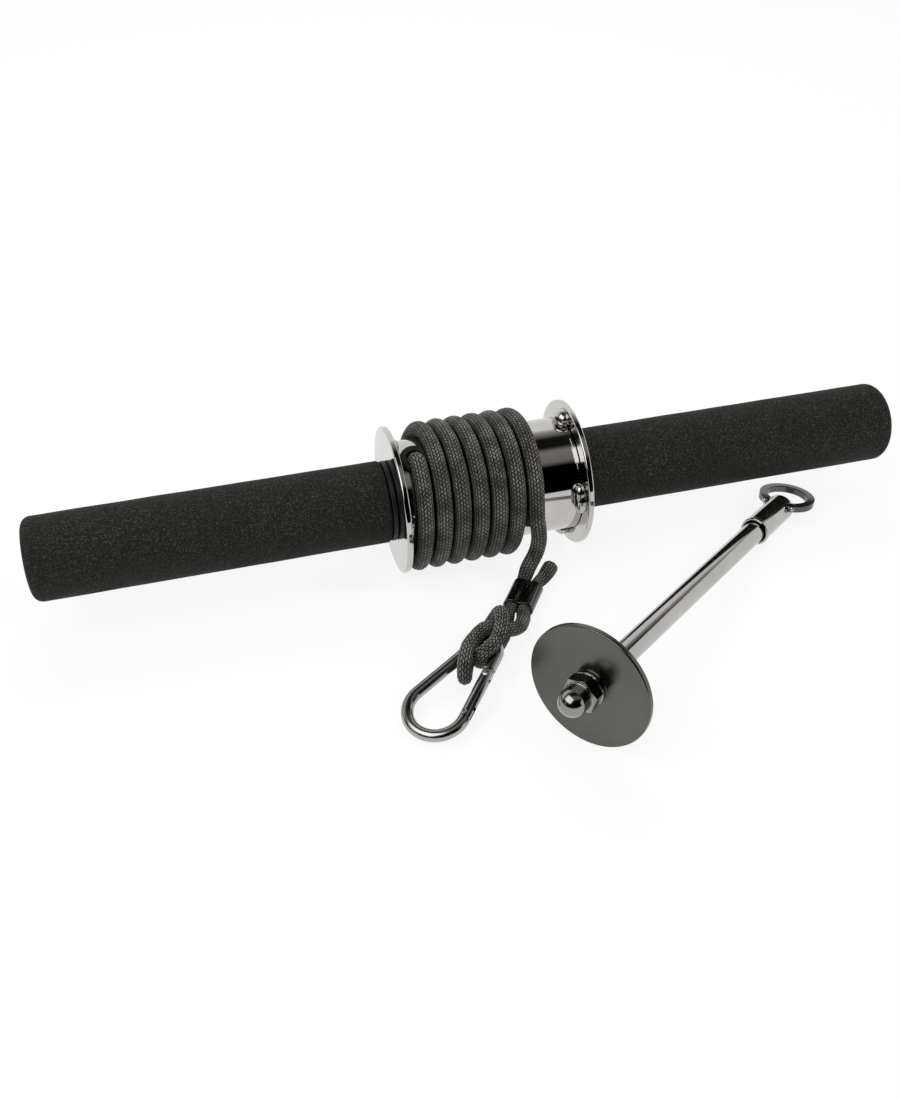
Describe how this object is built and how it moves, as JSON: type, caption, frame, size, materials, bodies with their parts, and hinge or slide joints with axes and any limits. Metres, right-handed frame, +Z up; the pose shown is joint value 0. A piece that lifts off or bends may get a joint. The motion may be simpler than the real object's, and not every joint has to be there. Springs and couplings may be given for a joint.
{
  "type": "wrist trainer",
  "caption": "Forearm roller with foam grips, a rope wound on a flanged drum, a gated carabiner on the rope, and a loading pin with a disc and a swivelling eye.",
  "frame": {"origin": "on the surface that everything lies on, under the middle of the box round all pieces that are not on the rope", "axes": "+X along the roller towards its right grip, +Y from the loading pin towards the roller, +Z up"},
  "size_m": [0.4334, 0.1946, 0.072],
  "materials": {
    "foam": "matt closed-cell foam with a fine speckle",
    "rubber": "smooth black rubber",
    "rope": "braided cord",
    "black_chrome": "mirror black nickel plating",
    "satin_black_chrome": "satin black nickel plating",
    "ferrule_metal": "smooth black plating",
    "steel": "plain steel"
  },
  "bodies": {
    "roller": {"core_tube": "steel", "left_grip": "foam", "right_grip": "foam", "left_spacer": "rubber", "right_spacer": "rubber", "left_flange": "black_chrome", "right_flange": "black_chrome", "drum": "black_chrome", "rope_grommet": "rubber", "rope_winding": "rope", "rope_knot": "rope", "rope_drop": "rope", "rope_tail": "rope", "rope_hitch": "rope", "crimp_ferrule": "ferrule_metal", "carabiner_body": "black_chrome", "hinge_rivet": "steel"},
    "gate": {"carabiner_gate": "black_chrome", "latch_pin": "steel", "gate_plunger": "steel", "gate_spring": "steel"},
    "loading_pin": {"pin_rod": "black_chrome", "weight_disc": "satin_black_chrome", "lock_washer": "black_chrome", "acorn_nut": "black_chrome", "retaining_ring": "steel"},
    "eye": {"swivel_sleeve": "black_chrome", "eye_ring": "black_chrome"}
  },
  "joints": [
    {"name": "gate_hinge", "type": "hinge", "parent": "roller", "child": "gate", "pos_m": [-0.02682, -0.04021, 0.01087], "axis": [0.1648, 0.1267, -0.9781], "range_deg": [0, 28], "stiffness_Nm_per_rad": 0.02, "springref_deg": -28.65},
    {"name": "pin_draw", "type": "slide", "parent": "roller", "child": "loading_pin", "axis": [0, -1, 0], "range_m": [0, 0.15]},
    {"name": "eye_swivel", "type": "hinge", "parent": "loading_pin", "child": "eye", "pos_m": [0.13141, 0.02027, 0.01058], "axis": [0.791, 0.6004, -0.1172], "continuous": true}
  ]
}
